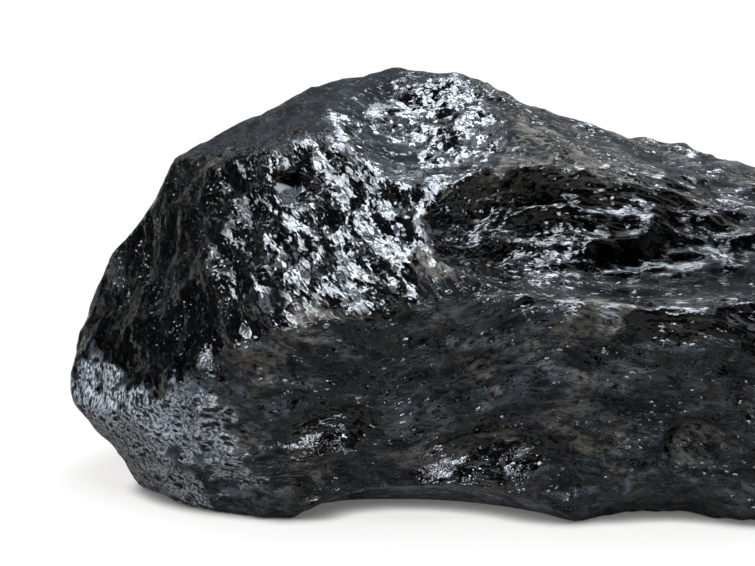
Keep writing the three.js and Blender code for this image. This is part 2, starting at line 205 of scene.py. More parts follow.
# Places where the finish departs from its kind: name, place, radius, and what is added to its finish
PATCHES = (
    ("crest_tongue", (-36, -8, 89), 9, {"crust": 0.9, "facets": -0.8}),
    ("crest_film", (-43, 2, 98), 9, {"crust": 0.9, "facets": -1.3}),
    ("sheet_low", (-39.4, -36, 66.8), 6.5, {"facets": -0.75}),
    ("sheet_high", (-28.3, -31, 74.5), 4.5, {"facets": -0.8}),
    ("brow_foot_left", (-67.9, -43, 41), 8, BROWN_STRONG),
    ("brow_foot", (-58.7, -47, 51), 9, BROWN_STRONG),
    ("brow_foot_middle", (-47.6, -45.7, 58), 7, BROWN_STRONG),
    ("brow_foot_right", (-27.2, -41, 67.6), 6, BROWN_STRONG),
    ("ridge_low", (-24.5, -23.5, 82), 5, {"crust": 0.2, "veil": 0.5}),
    ("ridge_middle", (-12, -16, 87.5), 8, {"crust": 0.4, "veil": 0.5}),
    ("ridge_top", (2, -4, 93.5), 8, {"crust": 0.3, "veil": 0.4}),
    ("roof_stain", (15.4, -12, 86), 9, {"veil": 0.35}),
    ("wall_stain", (15, -47, 56.5), 6.2, {"crust": 0.8, "veil": 1.0, "pits": 0.52}),
    ("vein_left", (-25, -40, 17), 6, BROWN),
    ("vein_middle", (-9.6, -40.6, 22), 7, BROWN),
    ("vein_right", (4.7, -45.6, 29), 7, BROWN_FAINT),
    ("foot_vein", (19, -44.5, 20.5), 8, BROWN_FAINT),
    ("ring_vein", (39.8, -41, 22), 7, {"veil": 0.6}),
    ("corner_vein", (-93.4, -32, 31.8), 6, BROWN),
    ("edge_vein", (-74.3, -40, 24.4), 8, BROWN),
    ("lobe_vein", (-59, -40, 11), 9, BROWN_FAINT),
    ("rim_film", (-114, 2, 47), 15, {"crust": 0.4, "veil": 0.1, "wisps": 0.6}),
    ("tip_glint", (-101, -22.3, 35.5), 3.5, RIB_GLEAM),
    ("rib_glint", (-82.7, -37, 40), 4.5, RIB_GLEAM),
    ("lobe_film_high", (-86, -37, 26), 12, {"crust": 0.3, "pits": 0.52, "tone": 1.3}),
    ("lobe_film", (-80, -39, 17), 11, {"crust": 0.4, "pits": 0.44, "tone": 1.4}),
    ("lobe_film_low", (-73, -39, 8), 11, {"crust": 0.4, "pits": 0.36, "tone": 1.3}),
    # From wall_start to wall_foot_end: painted shade, a dark dull film where the wall's foot would mirror
    # the lamps; wall_start also carries a real brown veil
    ("wall_start", (-22.7, -45.5, 63.5), 9, {"crust": 0.7, "veil": 0.35, "glints": 0.05, "tone": -0.7}),
    ("wall_foot_left", (-12, -45, 61.5), 7, PAINTED_FOOT_SHADE),
    ("wall_foot", (0, -41, 60), 8, PAINTED_FOOT_SHADE),
    ("wall_foot_middle", (14, -33, 58), 9, PAINTED_FOOT_SHADE),
    ("wall_foot_right", (28, -33, 58.5), 9, PAINTED_FOOT_SHADE),
    ("wall_foot_far", (42, -31, 58.5), 9, PAINTED_FOOT_SHADE),
    ("wall_foot_end", (54, -30, 58.8), 9, PAINTED_FOOT_SHADE),
    ("end_dark", (-84, -9, 74), 14, DARK_END),
    ("end_dark_high", (-86, 0, 79.5), 9, DARK_END),
    ("end_dark_low", (-90, -10, 61), 12, {"crust": -0.5, "facets": -0.25, "wisps": -0.3}),
    # Painted shade in the wall hollow: its gloss is cut where it would mirror the lamps
    ("hollow_right", (33, -21, 66), 14, {"facets": -0.35, "gloss": -0.35}),
    ("hollow_far", (50, -19, 69), 13, {"facets": -0.35, "gloss": -0.4}),
    ("hollow_foot", (22, -26, 59), 11, PAINTED_HOLLOW_SHADE),
    ("hollow_foot_right", (37, -27, 59.5), 11, PAINTED_HOLLOW_SHADE),
    ("hollow_foot_far", (51, -28, 60), 11, PAINTED_HOLLOW_SHADE),
    # Painted shade: the corner where brow and wall meet loses gloss and takes a film
    ("brow_corner", (-24, -44.7, 64.4), 5, {"crust": 0.5, "glints": -0.1, "gloss": -0.6}),
    ("stain_vein", (7.7, -47.7, 52.6), 4.5, {"veil": 0.6}),
    ("stain_vein_middle", (-0.6, -47.2, 47.8), 6, BROWN),
    ("stain_vein_left", (-14.3, -44.7, 42), 8, BROWN),
    ("fold_vein", (9.5, -47, 39.5), 4, BROWN),
    ("foot_vein_left", (9, -44.8, 23), 4.5, BROWN),
    ("saddle_film", (-5.8, -1.2, 95.7), 9, {"crust": 0.35, "facets": -0.4, "glints": -0.1, "tone": -0.15}),
    ("saddle_film_low", (0, -9.5, 91.9), 7, {"crust": 0.3, "veil": 0.15, "glints": -0.1}),
    # The eye: painted shade in the top of its hollow, a band of painted light below it, and a rim whose
    # glints and extra gloss catch the core lamp
    ("eye_dark", (-62.5, -15.5, 83.8), 4.6, PAINTED_EYE_SHADE),
    ("eye_rim", (-58, -20, 77.3), 3.6, {"crust": -1.0, "glints": 2.5, "gloss": 0.8}),
    ("eye_band", (-61.8, -18.3, 80), 3.0, {"crust": 0.5, "facets": -0.5, "tone": 0.9}),
    # Painted shade on the left of the glittering brow: less gloss, so it catches little lamp light
    ("temple_dark_high", (-77.5, -8.5, 81), 8, PAINTED_TEMPLE_SHADE),
    ("temple_dark", (-75.5, -16, 72.5), 9, PAINTED_TEMPLE_SHADE),
    ("temple_dark_low", (-73, -26, 63), 7, {"gloss": -0.5}),
    # Painted shade: less gloss in the middle of the wall hollow
    ("hollow_middle", (18, -20, 69), 9, {"facets": -0.4, "gloss": -0.5}),
    ("vein_start", (-32, -42, 19), 5, {"crust": 0.3, "veil": 0.7, "tone": 0.8}),
    ("foot_film", (20, -44.5, 15), 14, {"tone": 0.9}),
    ("tip_film_left", (-116, -12, 31), 7.5, TIP_FILM),
    ("tip_film", (-108, -19, 29), 7.5, TIP_FILM),
    ("tip_film_right", (-100, -27.5, 27.5), 6.5, {"crust": 0.8, "pits": 0.58, "wisps": -0.2, "tone": 1.7}),
    ("tip_film_far", (-92, -32.5, 27), 6, {"crust": 0.7, "pits": 0.5, "wisps": -0.2, "tone": 1.4}),
    ("roof_film", (8, 6, 92), 9, ROOF_FILM),
    ("roof_film_middle", (22, 4, 88), 9, ROOF_FILM),
    ("roof_film_right", (36, 4, 85), 9, ROOF_FILM),
    ("roof_film_far", (51, 4, 82), 9, ROOF_FILM),
    ("crest_crack", (-39.8, 1, 97.5), 3.8, {"crust": -1.2, "facets": 0.4, "glints": 0.5}),
    ("lens_left", (-23, -40.7, 15), 6, LENS_GLEAM),
    ("lens_middle", (-15.5, -40.2, 14), 6.5, LENS_GLEAM),
    ("lens_right", (-8.5, -40.3, 16), 6, LENS_GLEAM),
    ("shelf_glint_low", (-58, -40.5, 19.5), 5, SHELF_GLEAM),
    ("shelf_glint_high", (-50.5, -41.5, 23), 5, SHELF_GLEAM),
)

NEIGHBOURS = [(i, j, k) for i in (-1, 0, 1) for j in (-1, 0, 1) for k in (-1, 0, 1)]
CORNERS = [(i, j, k) for i in (0, 1) for j in (0, 1) for k in (0, 1)]


# ----------------------------------------------------------------------------------------------------------
# Settings that a user would change
# ----------------------------------------------------------------------------------------------------------


class MorionShape(bpy.types.PropertyGroup):
    """How the lump is broken and how finely it is modelled."""

    spine_half: bpy.props.FloatProperty(
        name="Half Spine", description="Half of the line inside that the surface is measured from",
        default=70 * MM, min=0.0, unit="LENGTH", subtype="DISTANCE")
    edge_wear: bpy.props.FloatProperty(
        name="Edge Wear", description="How far the ridge between two faces is worn round",
        default=1.1 * MM, min=0.0001, unit="LENGTH", subtype="DISTANCE")
    chip_size: bpy.props.FloatProperty(
        name="Chips", description="Size of the large chips", default=30 * MM, min=0.001,
        unit="LENGTH", subtype="DISTANCE")
    flake_size: bpy.props.FloatProperty(
        name="Flakes", description="Size of the flakes", default=10 * MM, min=0.001,
        unit="LENGTH", subtype="DISTANCE")
    splinter_size: bpy.props.FloatProperty(
        name="Splinters", description="Size of the splinters", default=4.5 * MM, min=0.001,
        unit="LENGTH", subtype="DISTANCE")
    grit_size: bpy.props.FloatProperty(
        name="Grit", description="Size of the finest modelled grains", default=2.2 * MM, min=0.0005,
        unit="LENGTH", subtype="DISTANCE")
    ledge_step: bpy.props.FloatProperty(
        name="Ledges", description="From one ledge to the next", default=8 * MM, min=0.001,
        unit="LENGTH", subtype="DISTANCE")
    rings: bpy.props.IntProperty(
        name="Rings", description="Rings of points between the two ends", default=330, min=16)
    ring_points: bpy.props.IntProperty(
        name="Ring Points", description="Points in one ring", default=296, min=16)
    end_packing: bpy.props.FloatProperty(
        name="Middle Packing", description="How much the rings crowd in the middle",
        default=0.35, min=0.0, max=0.9, subtype="FACTOR")
    front_packing: bpy.props.FloatProperty(
        name="Front Packing", description="How much the points of a ring crowd at the front",
        default=0.45, min=0.0, max=0.9, subtype="FACTOR")
    front_rise: bpy.props.FloatProperty(
        name="Front Rise", description="How high above level the points crowd most",
        default=math.radians(30), unit="ROTATION", subtype="ANGLE")


class MorionFinish(bpy.types.PropertyGroup):
    """Colours and gloss of the quartz."""

    glass: bpy.props.FloatVectorProperty(
        name="Glass", description="Fresh black glass", subtype="COLOR", size=3, min=0.0, max=1.0,
        default=(0.00011, 0.00011, 0.00015))
    slate: bpy.props.FloatVectorProperty(
        name="Slate", description="Dull slate-grey film over the glass", subtype="COLOR", size=3,
        min=0.0, max=1.0, default=(0.0060, 0.0067, 0.0074))
    veil: bpy.props.FloatVectorProperty(
        name="Veil", description="Brown-grey weathered veil", subtype="COLOR", size=3, min=0.0, max=1.0,
        default=(0.062, 0.053, 0.043))
    dust: bpy.props.FloatVectorProperty(
        name="Dust", description="Pale dust in the pits and along worn edges", subtype="COLOR", size=3,
        min=0.0, max=1.0, default=(0.170, 0.176, 0.182))
    film_gloss: bpy.props.FloatVectorProperty(
        name="Film Gloss", description="Share of the gloss that the film and the veil leave",
        subtype="COLOR", size=3, min=0.0, max=1.0, default=(0.028, 0.034, 0.044))
    refraction: bpy.props.FloatProperty(
        name="Refractive Index", description="Of quartz", default=1.55, min=1.0, max=3.0)
    flake_bump: bpy.props.FloatProperty(
        name="Flake Relief", description="Height of the finest flakes, which only bend the light",
        default=1.0, min=0.0, max=4.0, subtype="FACTOR")


class MorionStage(bpy.types.PropertyGroup):
    """The table, the lamps and the camera."""

    camera_distance: bpy.props.FloatProperty(
        name="Distance", description="From the camera to its target", default=0.553,
        unit="LENGTH", subtype="DISTANCE")
    camera_elevation: bpy.props.FloatProperty(
        name="Elevation", description="How far the camera looks down", default=math.radians(14),
        unit="ROTATION", subtype="ANGLE")
    camera_target: bpy.props.FloatVectorProperty(
        name="Target", description="The point that the camera looks at", size=3,
        default=(-0.0376, -0.0092, 0.052), unit="LENGTH", subtype="XYZ")
    lens: bpy.props.FloatProperty(
        name="Lens", description="Focal length in millimetres", default=100.0)
    lamp_place: bpy.props.FloatVectorProperty(
        name="Lamp Place", description="Middle of the soft lamp", size=3,
        default=(0.0, -0.14, 1.05), unit="LENGTH", subtype="XYZ")
    core_place: bpy.props.FloatVectorProperty(
        name="Core Place", description="Middle of the bright core", size=3,
        default=(-0.13, -0.28, 1.05), unit="LENGTH", subtype="XYZ")
    lamp_size: bpy.props.FloatProperty(
        name="Lamp", description="Side of the soft lamp", default=0.80, unit="LENGTH", subtype="DISTANCE")
    lamp_glow: bpy.props.FloatProperty(
        name="Lamp Glow", description="Radiance of the soft lamp", default=16.0, min=0.0)
    core_size: bpy.props.FloatProperty(
        name="Core", description="Side of the bright core of the lamp", default=0.42,
        unit="LENGTH", subtype="DISTANCE")
    core_glow: bpy.props.FloatProperty(
        name="Core Glow", description="Radiance that the core adds", default=30.0, min=0.0)
    top_place: bpy.props.FloatVectorProperty(
        name="Top Place", description="Middle of the lamp over the far side, and of the fill", size=3,
        default=(0.15, 0.21, 1.05), unit="LENGTH", subtype="XYZ")
    top_size: bpy.props.FloatProperty(
        name="Top Lamp", description="Side of the lamp over the far side", default=0.46,
        unit="LENGTH", subtype="DISTANCE")
    top_glow: bpy.props.FloatProperty(
        name="Top Glow", description="Radiance that the lamp over the far side adds", default=42.0, min=0.0)
    front_place: bpy.props.FloatVectorProperty(
        name="Front Place", description="Middle of the small lamp by the camera", size=3,
        default=(-0.10, -0.80, 0.50), unit="LENGTH", subtype="XYZ")
    front_size: bpy.props.FloatProperty(
        name="Front Lamp", description="Side of the lamp by the camera", default=0.28,
        unit="LENGTH", subtype="DISTANCE")
    front_glow: bpy.props.FloatProperty(
        name="Front Glow", description="Radiance of the lamp by the camera", default=45.0, min=0.0)
    fill_size: bpy.props.FloatProperty(
        name="Fill", description="Side of the dim fill around the lamps", default=1.5,
        unit="LENGTH", subtype="DISTANCE")
    fill_glow: bpy.props.FloatProperty(
        name="Fill Glow", description="Radiance that the fill adds", default=3.0, min=0.0)
    # The table's glow is painted light, and its dark reach beside the stone is a painted shadow
    table_glow: bpy.props.FloatProperty(
        name="Table Glow", description="Light that the table gives off around the stone",
        default=0.80, min=0.0)
    contact_shadow: bpy.props.FloatProperty(
        name="Contact", description="How far from the stone the table stays dark", default=0.007,
        unit="LENGTH", subtype="DISTANCE")
    table_color: bpy.props.FloatVectorProperty(
        name="Table", description="Colour of the table", subtype="COLOR", size=3, min=0.0, max=1.0,
        default=(0.042, 0.0415, 0.0405))


# ----------------------------------------------------------------------------------------------------------
# Shape of the stone
# ----------------------------------------------------------------------------------------------------------


def facing(azimuth, tilt):
    """Outward direction of a face: turned by its azimuth about Z from -Y, then raised by its tilt."""
    a, t = math.radians(azimuth), math.radians(tilt)
    return np.array((math.sin(a) * math.cos(t), -math.cos(a) * math.cos(t), math.sin(t)))


def face_reach(origin, direction, face):
    """Distance along each ray to a plane: how far its point lies ahead, over the ray's slope to it."""
    _, at, azimuth, tilt, _ = face
    normal = facing(azimuth, tilt)
    slope = direction @ normal
    ahead = (np.array(at) - origin) @ normal
    return np.where(slope > GRAZING, ahead / np.maximum(slope, GRAZING), FAR)


def hollow_reach(origin, direction, hollow):
    """Distance along each ray to where it first meets a stretched ball. The ball is brought to a unit ball
    at the origin, where the distance is the smaller root of a quadratic."""
    _, at, azimuth, tilt, radius, depth, stretch, turn, _ = hollow
    normal = facing(azimuth, tilt)
    side = np.cross((0.0, 0.0, 1.0), normal)
    side /= np.linalg.norm(side)
    up = np.cross(normal, side)
    c, s = math.cos(math.radians(turn)), math.sin(math.radians(turn))
    rows = np.stack(((c * side + s * up) / stretch, c * up - s * side, normal)) / radius
    centre = np.array(at) + normal * (radius - depth)
    start = (origin - centre) @ rows.T
    way = direction @ rows.T
    a, b = (way * way).sum(-1), (start * way).sum(-1)
    root = b * b - a * ((start * start).sum(-1) - 1)
    reach = (-b - np.sqrt(np.maximum(root, 0))) / a
    return np.where((root > 0) & (reach > 0), reach, FAR)


def hashed(cell, seed):
    """Three numbers from 0 to 1 for each lattice cell: the fraction of a large sine of its coordinates."""
    value = np.sin(cell @ np.array(HASH_ROWS).T + seed) * HASH_SCALE
    return value - np.floor(value)


def bowls(point, seed):
    """Relief of overlapping bowls: the least squared distance to one point in each of the 27 cells around,
    each raised or lowered a little, so that two bowls meet in a sharp ridge."""
    cell = np.floor(point)
    lowest = np.full(len(point), FAR)
    for step in NEIGHBOURS:
        near = cell + step
        spot = hashed(near, seed)
        away = ((point - near - spot) ** 2).sum(-1) + BOWL_UNEVEN * (spot[:, 0] - 0.5)
        lowest = np.minimum(lowest, away)
    return lowest


def noise(point, seed):
    """Smooth noise from -1 to 1: hashed values at the corners of a lattice, blended with 3t^2 - 2t^3."""
    cell = np.floor(point)
    t = point - cell
    t = t * t * (3 - 2 * t)
    value = 0.0
    for corner in CORNERS:
        share = np.prod(np.where(np.array(corner) == 1, t, 1 - t), axis=-1)
        value = value + share * hashed(cell + corner, seed)[:, 0]
    return 2 * value - 1


def lay_rows(lay):
    """A lay as three rows that turn and squeeze a point into the flakes' own lattice."""
    along, across, stretch = LAYS[lay]
    x = np.array(along) / np.linalg.norm(along)
    y = np.array(across) - x * (x @ np.array(across))
    y /= np.linalg.norm(y)
    return np.stack((x, y, np.cross(x, y))) / np.array(stretch)[:, None]


def ledge(point, step):
    """Height of the ledges from -0.5 to 0.5: a saw of one step along LEDGE_UP, waved by slow noise."""
    up = np.array(LEDGE_UP) / np.linalg.norm(LEDGE_UP)
    at = (point @ up) / step + LEDGE_WAVE_REACH * noise(point / LEDGE_WAVE, LEDGE_SEED)
    at -= np.floor(at)
    return np.where(at < LEDGE_TREAD, at / LEDGE_TREAD, (1 - at) / (1 - LEDGE_TREAD)) - 0.5


def rays(shape):
    """Start and direction of each ray. Rings turn from the left end to the right end while their start
    slides along the spine; the points of a ring turn about the spine. Both spacings crowd by a sine."""
    u = (np.arange(shape.rings) + 1) / (shape.rings + 1)
    v = np.arange(shape.ring_points) / shape.ring_points
    along = np.pi * u + shape.end_packing * np.sin(2 * np.pi * u) / 2
    around = 2 * np.pi * v + shape.front_packing * np.sin(2 * np.pi * v) - np.pi + shape.front_rise
    along = np.append(np.repeat(along, len(v)), (0.0, np.pi))
    around = np.append(np.tile(around, len(u)), (0.0, 0.0))
    out = np.sin(along)
    direction = np.stack((-np.cos(along), -out * np.cos(around), out * np.sin(around)), -1)
    origin = np.tile(SPINE, (len(along), 1))
    origin[:, 0] -= shape.spine_half / MM * np.cos(along)
    return origin, direction


def soft_least(reaches, width):
    """Soft minimum over the rows, and how much each row is felt: minus width times the log of the sum of
    exp(-reach / width)."""
    least = reaches.min(0)
    felt = np.exp((least - reaches) / width)
    total = felt.sum(0)
    return least - width * np.log(total), felt / total


def kind_shares(felt):
    """Share of each kind of surface at each point, from the shares of the faces and hollows."""
    names = list(KINDS)
    rows = [names.index(row[-1]) for row in FACES + HOLLOWS]
    shares = np.zeros((len(names), felt.shape[1]))
    np.add.at(shares, rows, felt)
    return shares


def lay_share(shares, lay, column):
    """Share of the kinds that have this lay in this column of their table, at each point."""
    return shares[[row[column] == lay for row in KINDS.values()]].sum(0)


def relief(point, shares, shape):
    """How far the broken surface stands out from the plain one: bowls of four sizes, each lay in its own
    lattice, minus the ledges. The finer two follow an arch: the point is raised by its distance from the
    arch's middle, squared, over twice the radius. Also gives that point and the fine lays' shares."""
    amounts = shares.T @ np.array([row[FORM] for row in KINDS.values()])
    bend = np.stack([noise(point / WARP_SIZE, seed) for seed in WARP_SEEDS], -1)
    away = np.clip(point[:, 0] - ARCH_MIDDLE, -ARCH_HALF, ARCH_HALF)
    level = np.zeros_like(away)
    arch = np.stack((level, level, away ** 2 / (2 * ARCH_RADIUS)), -1)
    bent, fine = point + WARP_REACH * bend, point + FINE_WARP_REACH * bend + arch
    height = -amounts[:, 4] * ledge(bent, shape.ledge_step / MM)
    sizes = (
        (bent, shape.chip_size, CHIP_SEED, COARSE_LAY),
        (bent, shape.flake_size, FLAKE_SEED, COARSE_LAY),
        (fine, shape.splinter_size, SPLINTER_SEED, FINE_LAY),
        (fine, shape.grit_size, GRIT_SEED, FINE_LAY),
    )
    for lay in LAYS:
        for i, (where, size, seed, column) in enumerate(sizes):
            share = lay_share(shares, lay, column)
            used = share > LEAST_SHARE
            turned = where[used] @ lay_rows(lay).T
            bowl = bowls(turned / (size / MM), seed) - BOWL_MEAN
            height[used] += share[used] * amounts[used, i] * bowl
    return height, fine, {lay: lay_share(shares, lay, FINE_LAY) for lay in list(LAYS)[1:]}


def border_shares(point, reaches, width):
    """Shares of the kinds for the finish: as for the form, with each kind's reach moved by noise of its
    own, so that a crust ends in a ragged border."""
    names = list(KINDS)
    moved = reaches.copy()
    for k, name in enumerate(names):
        shift = BORDER_REACH * noise(point / BORDER_WAVE, BORDER_SEED + BORDER_SEED_STEP * k)
        rows = [i for i, row in enumerate(FACES + HOLLOWS) if row[-1] == name]
        moved[rows] += shift
    return kind_shares(soft_least(moved, width)[1])


def patches(point):
    """Change of the finish by the patches: each fades outwards as 3t^2 - 2t^3, where t falls by one from
    one radius to the next, with noise added to it so that the rim is ragged."""
    change = np.zeros((len(point), len(FINISHES)))
    ragged = sum(reach * noise(point / length, BORDER_SEED) for reach, length in PATCH_WAVES)
    for _, at, radius, added in PATCHES:
        amounts = [added.get(name, 0.0) for name in FINISHES]
        t = np.clip(PATCH_REACH - np.linalg.norm(point - at, axis=-1) / radius + ragged, 0, 1)
        change += (t * t * (3 - 2 * t))[:, None] * amounts
    return change


def stone_surface(shape):
    """Points of the stone in millimetres, ring by ring with the two ends last, and what the finish reads:
    the plain form is the soft minimum of all reaches, and the relief is added along each ray."""
    origin, direction = rays(shape)
    reaches = np.stack(
        [face_reach(origin, direction, face) for face in FACES]
        + [hollow_reach(origin, direction, hollow) for hollow in HOLLOWS]
    )
    reach, felt = soft_least(reaches, shape.edge_wear / MM)
    plain = origin + direction * reach[:, None]
    height, grain, lays = relief(plain, kind_shares(felt), shape)
    point = plain + direction * height[:, None]
    point[:, 2] = np.where(point[:, 2] < REST_BAND, 0.0, point[:, 2])
    ridge = 1 - kind_shares(soft_least(reaches, RIDGE_WIDTH)[1]).max(0)
    shares = border_shares(plain, reaches, BORDER_WIDTH)
    finish = shares.T @ np.array([row[FINISH] for row in KINDS.values()]) + patches(plain)
    traits = {"ridge": ridge, **lays, **dict(zip(FINISHES, np.maximum(finish, 0).T))}
    return point, grain, traits


def stone_faces(rings, ring_points):
    """Four-sided faces between neighbouring rings, and a fan of triangles at each end, all outwards."""
    at = np.arange(rings * ring_points).reshape(rings, ring_points)
    here, there = at[:-1], at[1:]
    quads = np.stack((here, there, np.roll(there, -1, 1), np.roll(here, -1, 1)), -1).reshape(-1, 4)
    left, right = rings * ring_points, rings * ring_points + 1
    first = np.stack((np.full(ring_points, left), at[0], np.roll(at[0], -1)), -1)
    last = np.stack((np.full(ring_points, right), np.roll(at[-1], -1), at[-1]), -1)
    return quads, np.concatenate((first, last))


def fill_mesh(name, points, quads, triangles):
    """A mesh from whole arrays of points, four-sided faces and triangles."""
    mesh = bpy.data.meshes.new(name)
    corners = np.concatenate((quads.ravel(), triangles.ravel())).astype(np.int32)
    totals = np.concatenate((np.full(len(quads), 4), np.full(len(triangles), 3)))
    starts = np.concatenate(((0,), np.cumsum(totals)[:-1])).astype(np.int32)
    mesh.vertices.add(len(points))
    mesh.vertices.foreach_set("co", points.astype(np.float32).ravel())
    mesh.loops.add(len(corners))
    mesh.loops.foreach_set("vertex_index", corners)
    mesh.polygons.add(len(totals))
    mesh.polygons.foreach_set("loop_start", starts)
    mesh.update(calc_edges=True)
    mesh.validate()
    mesh.shade_smooth()
    return mesh


def add_attribute(mesh, name, values):
    """A value for each point of the mesh: a number, or three numbers."""
    vector = values.ndim == 2
    layer = mesh.attributes.new(name, "FLOAT_VECTOR" if vector else "FLOAT", "POINT")
    layer.data.foreach_set("vector" if vector else "value", values.astype(np.float32).ravel())


# ----------------------------------------------------------------------------------------------------------
# Finish of the stone
# ----------------------------------------------------------------------------------------------------------


MIX_SOCKETS = {"RGBA": (6, 7, 2), "VECTOR": (4, 5, 1)}  # a Mix node's inputs A and B, and its result

# How each pattern's place is squeezed in the grain, which draws the pattern out along the flakes
SQUEEZES = {
    "blotches": (1.0, 1.15, 1.15),
    "veins": (0.7, 1.15, 1.15),
    "cracks": (0.5, 1.1, 1.1),
    "threads": (0.5, 1.2, 1.2),
    "wisps": (0.3, 1.0, 1.0),
    "pits": (0.5, 1.0, 1.0),
}

# Smooth steps: the two levels of a pattern that each goes between, then what it gives at them, where that
# isn't nought and one
GLINT_ZONE = (0.45, 0.62, 0.1, 2.4)  # blotches: how many times the kind's own share of glints there are
FILM_EDGE = (1.56, 1.76)  # crust, blotches and specks together: where the film sets in
FILM_SPECKS, FILM_VEINS = (0.30, 0.70, 0.55, 1.35), (0.38, 0.62, 0.25, 1.65)  # how pale they make the film
VEIL_EDGE = (0.64, 0.76)  # veins, with some of the kind's veil: where the veil sets in
VEIL_LEAST, VEIL_FULL = (0.0, 0.15), (0.0, 1.3, 0.55, 1.0)  # the kind's veil: if there is one, how full
VEIL_SPECKS = (0.34, 0.64)  # specks that break the veil up
WORN_RIDGE, WORN_VEINS = (0.25, 0.5), (0.48, 0.62)  # ridge and veins: both are high where it is worn brown
WISP_ZONE = (0.45, 0.55)  # blotches: where there are wisps
PIT_SKIN = (0.6, 0.8)  # the kind's pits, with some of the blotches: where the skin is pitted
PIT_RIM = (0.17, 0.24, 1.0, 0.0)  # distance from a cell's middle: where its pit ends
DUST_GRAINS = (0.40, 0.62, 0.0, 0.9)  # fine grains: where dust lies on the pitted skin

# How much of one pattern is added to another before such a step
BLOTCH_IN_FILM, VEIL_IN_VEINS, BLOTCH_IN_SKIN, SPECK_IN_PIT = 1.4, 0.3, 0.5, -0.25

# How strongly each shows
WORN_VEIL, THREAD_VEIL, WISP_DUST, PIT_DARK = 0.7, 0.8, 0.07, 0.9

# Roughness of the glass, and what film, veil and specks add to it
GLASS_ROUGH, FILM_ROUGH, VEIL_ROUGH, SPECK_ROUGH = 0.06, 0.74, 0.3, 0.10
GLASS_GLOSS = 0.20  # level of the mirror-like gloss

# Fine heights in millimetres: grain of the glass, what the film adds to it, the film and the pits. Then the
# share of the facets that film and glints take away, and the size and tilt of those facets
GLASS_GRAIN, FILM_GRAIN, FILM_THICKNESS, PIT_HEIGHT = 0.02, 0.13, 0.05, -0.4
FACET_LOSS = 0.88
COARSE_FACETS, MIDDLE_FACETS, FINE_FACETS = (3.6, 0.38), (1.4, 0.36), (0.6, 0.26)


class Nodes:
    """Adds shader nodes to a tree in short calls."""

    def __init__(self, tree):
        self.tree = tree

    def add(self, kind, **settings):
        """A node of this kind with its properties set."""
        node = self.tree.nodes.new("ShaderNode" + kind)
        for key, value in settings.items():
            setattr(node, key, value)
        return node

    def join(self, value, socket):
        """Puts a number, a colour or another node's output into a socket."""
        if isinstance(value, bpy.types.NodeSocket):
            self.tree.links.new(value, socket)
        else:
            socket.default_value = value

    def math(self, operation, a, b=0.0, c=0.0, clamp=False):
        """A Math node's result."""
        node = self.add("Math", operation=operation, use_clamp=clamp)
        for value, socket in zip((a, b, c), node.inputs):
            self.join(value, socket)
        return node.outputs[0]

    def ramp(self, value, low, high, start=0.0, end=1.0):
        """Smooth step of a value between two levels."""
        node = self.add("MapRange", interpolation_type="SMOOTHSTEP", clamp=True)
        for entry, socket in zip((value, low, high, start, end), node.inputs):
            self.join(entry, socket)
        return node.outputs[0]

    def mix(self, share, a, b, data_type="RGBA"):
        """Two colours, or two vectors, mixed by a share."""
        node = self.add("Mix", data_type=data_type)
        first, second, result = MIX_SOCKETS[data_type]
        self.join(share, node.inputs[0])
        self.join(a, node.inputs[first])
        self.join(b, node.inputs[second])
        return node.outputs[result]

    def attribute(self, name):
        """A value that the mesh carries."""
        return self.add("Attribute", attribute_type="GEOMETRY", attribute_name=name)

    def vector(self, operation, *values):
        """A Vector Math node's result, which is a number for a dot product or a length."""
        node = self.add("VectorMath", operation=operation)
        for value, socket in zip(values, node.inputs):
            self.join(value, socket)
        return node.outputs["Value" if operation in ("DOT_PRODUCT", "LENGTH") else "Vector"]

    def scaled(self, vector, scale):
        """A vector times three numbers."""
        return self.vector("MULTIPLY", vector, scale)

    def times(self, vector, number):
        """A vector or a colour times one number."""
        node = self.add("VectorMath", operation="SCALE")
        self.join(vector, node.inputs[0])
        self.join(number, node.inputs["Scale"])
        return node.outputs[0]

    def noise(self, vector, scale, detail, rough):
        """Noise from 0 to 1, with its scale in waves per unit."""
        node = self.add("TexNoise", noise_dimensions="3D")
        self.join(vector, node.inputs["Vector"])
        node.inputs["Scale"].default_value = scale
        node.inputs["Detail"].default_value = detail
        node.inputs["Roughness"].default_value = rough
        return node.outputs["Fac"]

    def lines(self, vector, scale, width):
        """Thin wandering lines from 0 to 1: where smooth noise passes its middle."""
        smooth = self.noise(vector, scale, detail=4.0, rough=0.55)
        away = self.math("ABSOLUTE", self.math("SUBTRACT", smooth, 0.5))
        return self.ramp(away, 0.0, width, 1.0, 0.0)

    def cells(self, vector, scale):
        """Random cells around random points, with their scale in cells per unit."""
        node = self.add("TexVoronoi", voronoi_dimensions="3D", feature="F1")
        self.join(vector, node.inputs["Vector"])
        node.inputs["Scale"].default_value = scale
        return node

    def facets(self, vector, size, tilt):
        """Height in millimetres of flat facets: each cell's own slope, taken from its colour, times the
        place in the cell."""
        cells = self.cells(vector, 1 / size)
        middle = self.scaled(cells.outputs["Position"], (1 / size,) * 3)
        place = self.vector("SUBTRACT", self.scaled(vector, (1 / size,) * 3), middle)
        slope = self.vector("SUBTRACT", cells.outputs["Color"], (0.5, 0.5, 0.5))
        return self.math("MULTIPLY", self.vector("DOT_PRODUCT", place, slope), size * tilt)


def new_material(name):
    """A material, short calls for its nodes, and its shader."""
    material = bpy.data.materials.new(name)
    material.use_nodes = True
    return material, Nodes(material.node_tree), material.node_tree.nodes["Principled BSDF"]


def turned_grain(n, lay):
    """Places in one lay's lattice: the lay's three rows times the bent place."""
    turned = n.add("CombineXYZ")
    for row, socket in zip(lay_rows(lay), turned.inputs):
        n.join(n.vector("DOT_PRODUCT", n.attribute("grain").outputs["Vector"], row), socket)
    return turned.outputs[0]


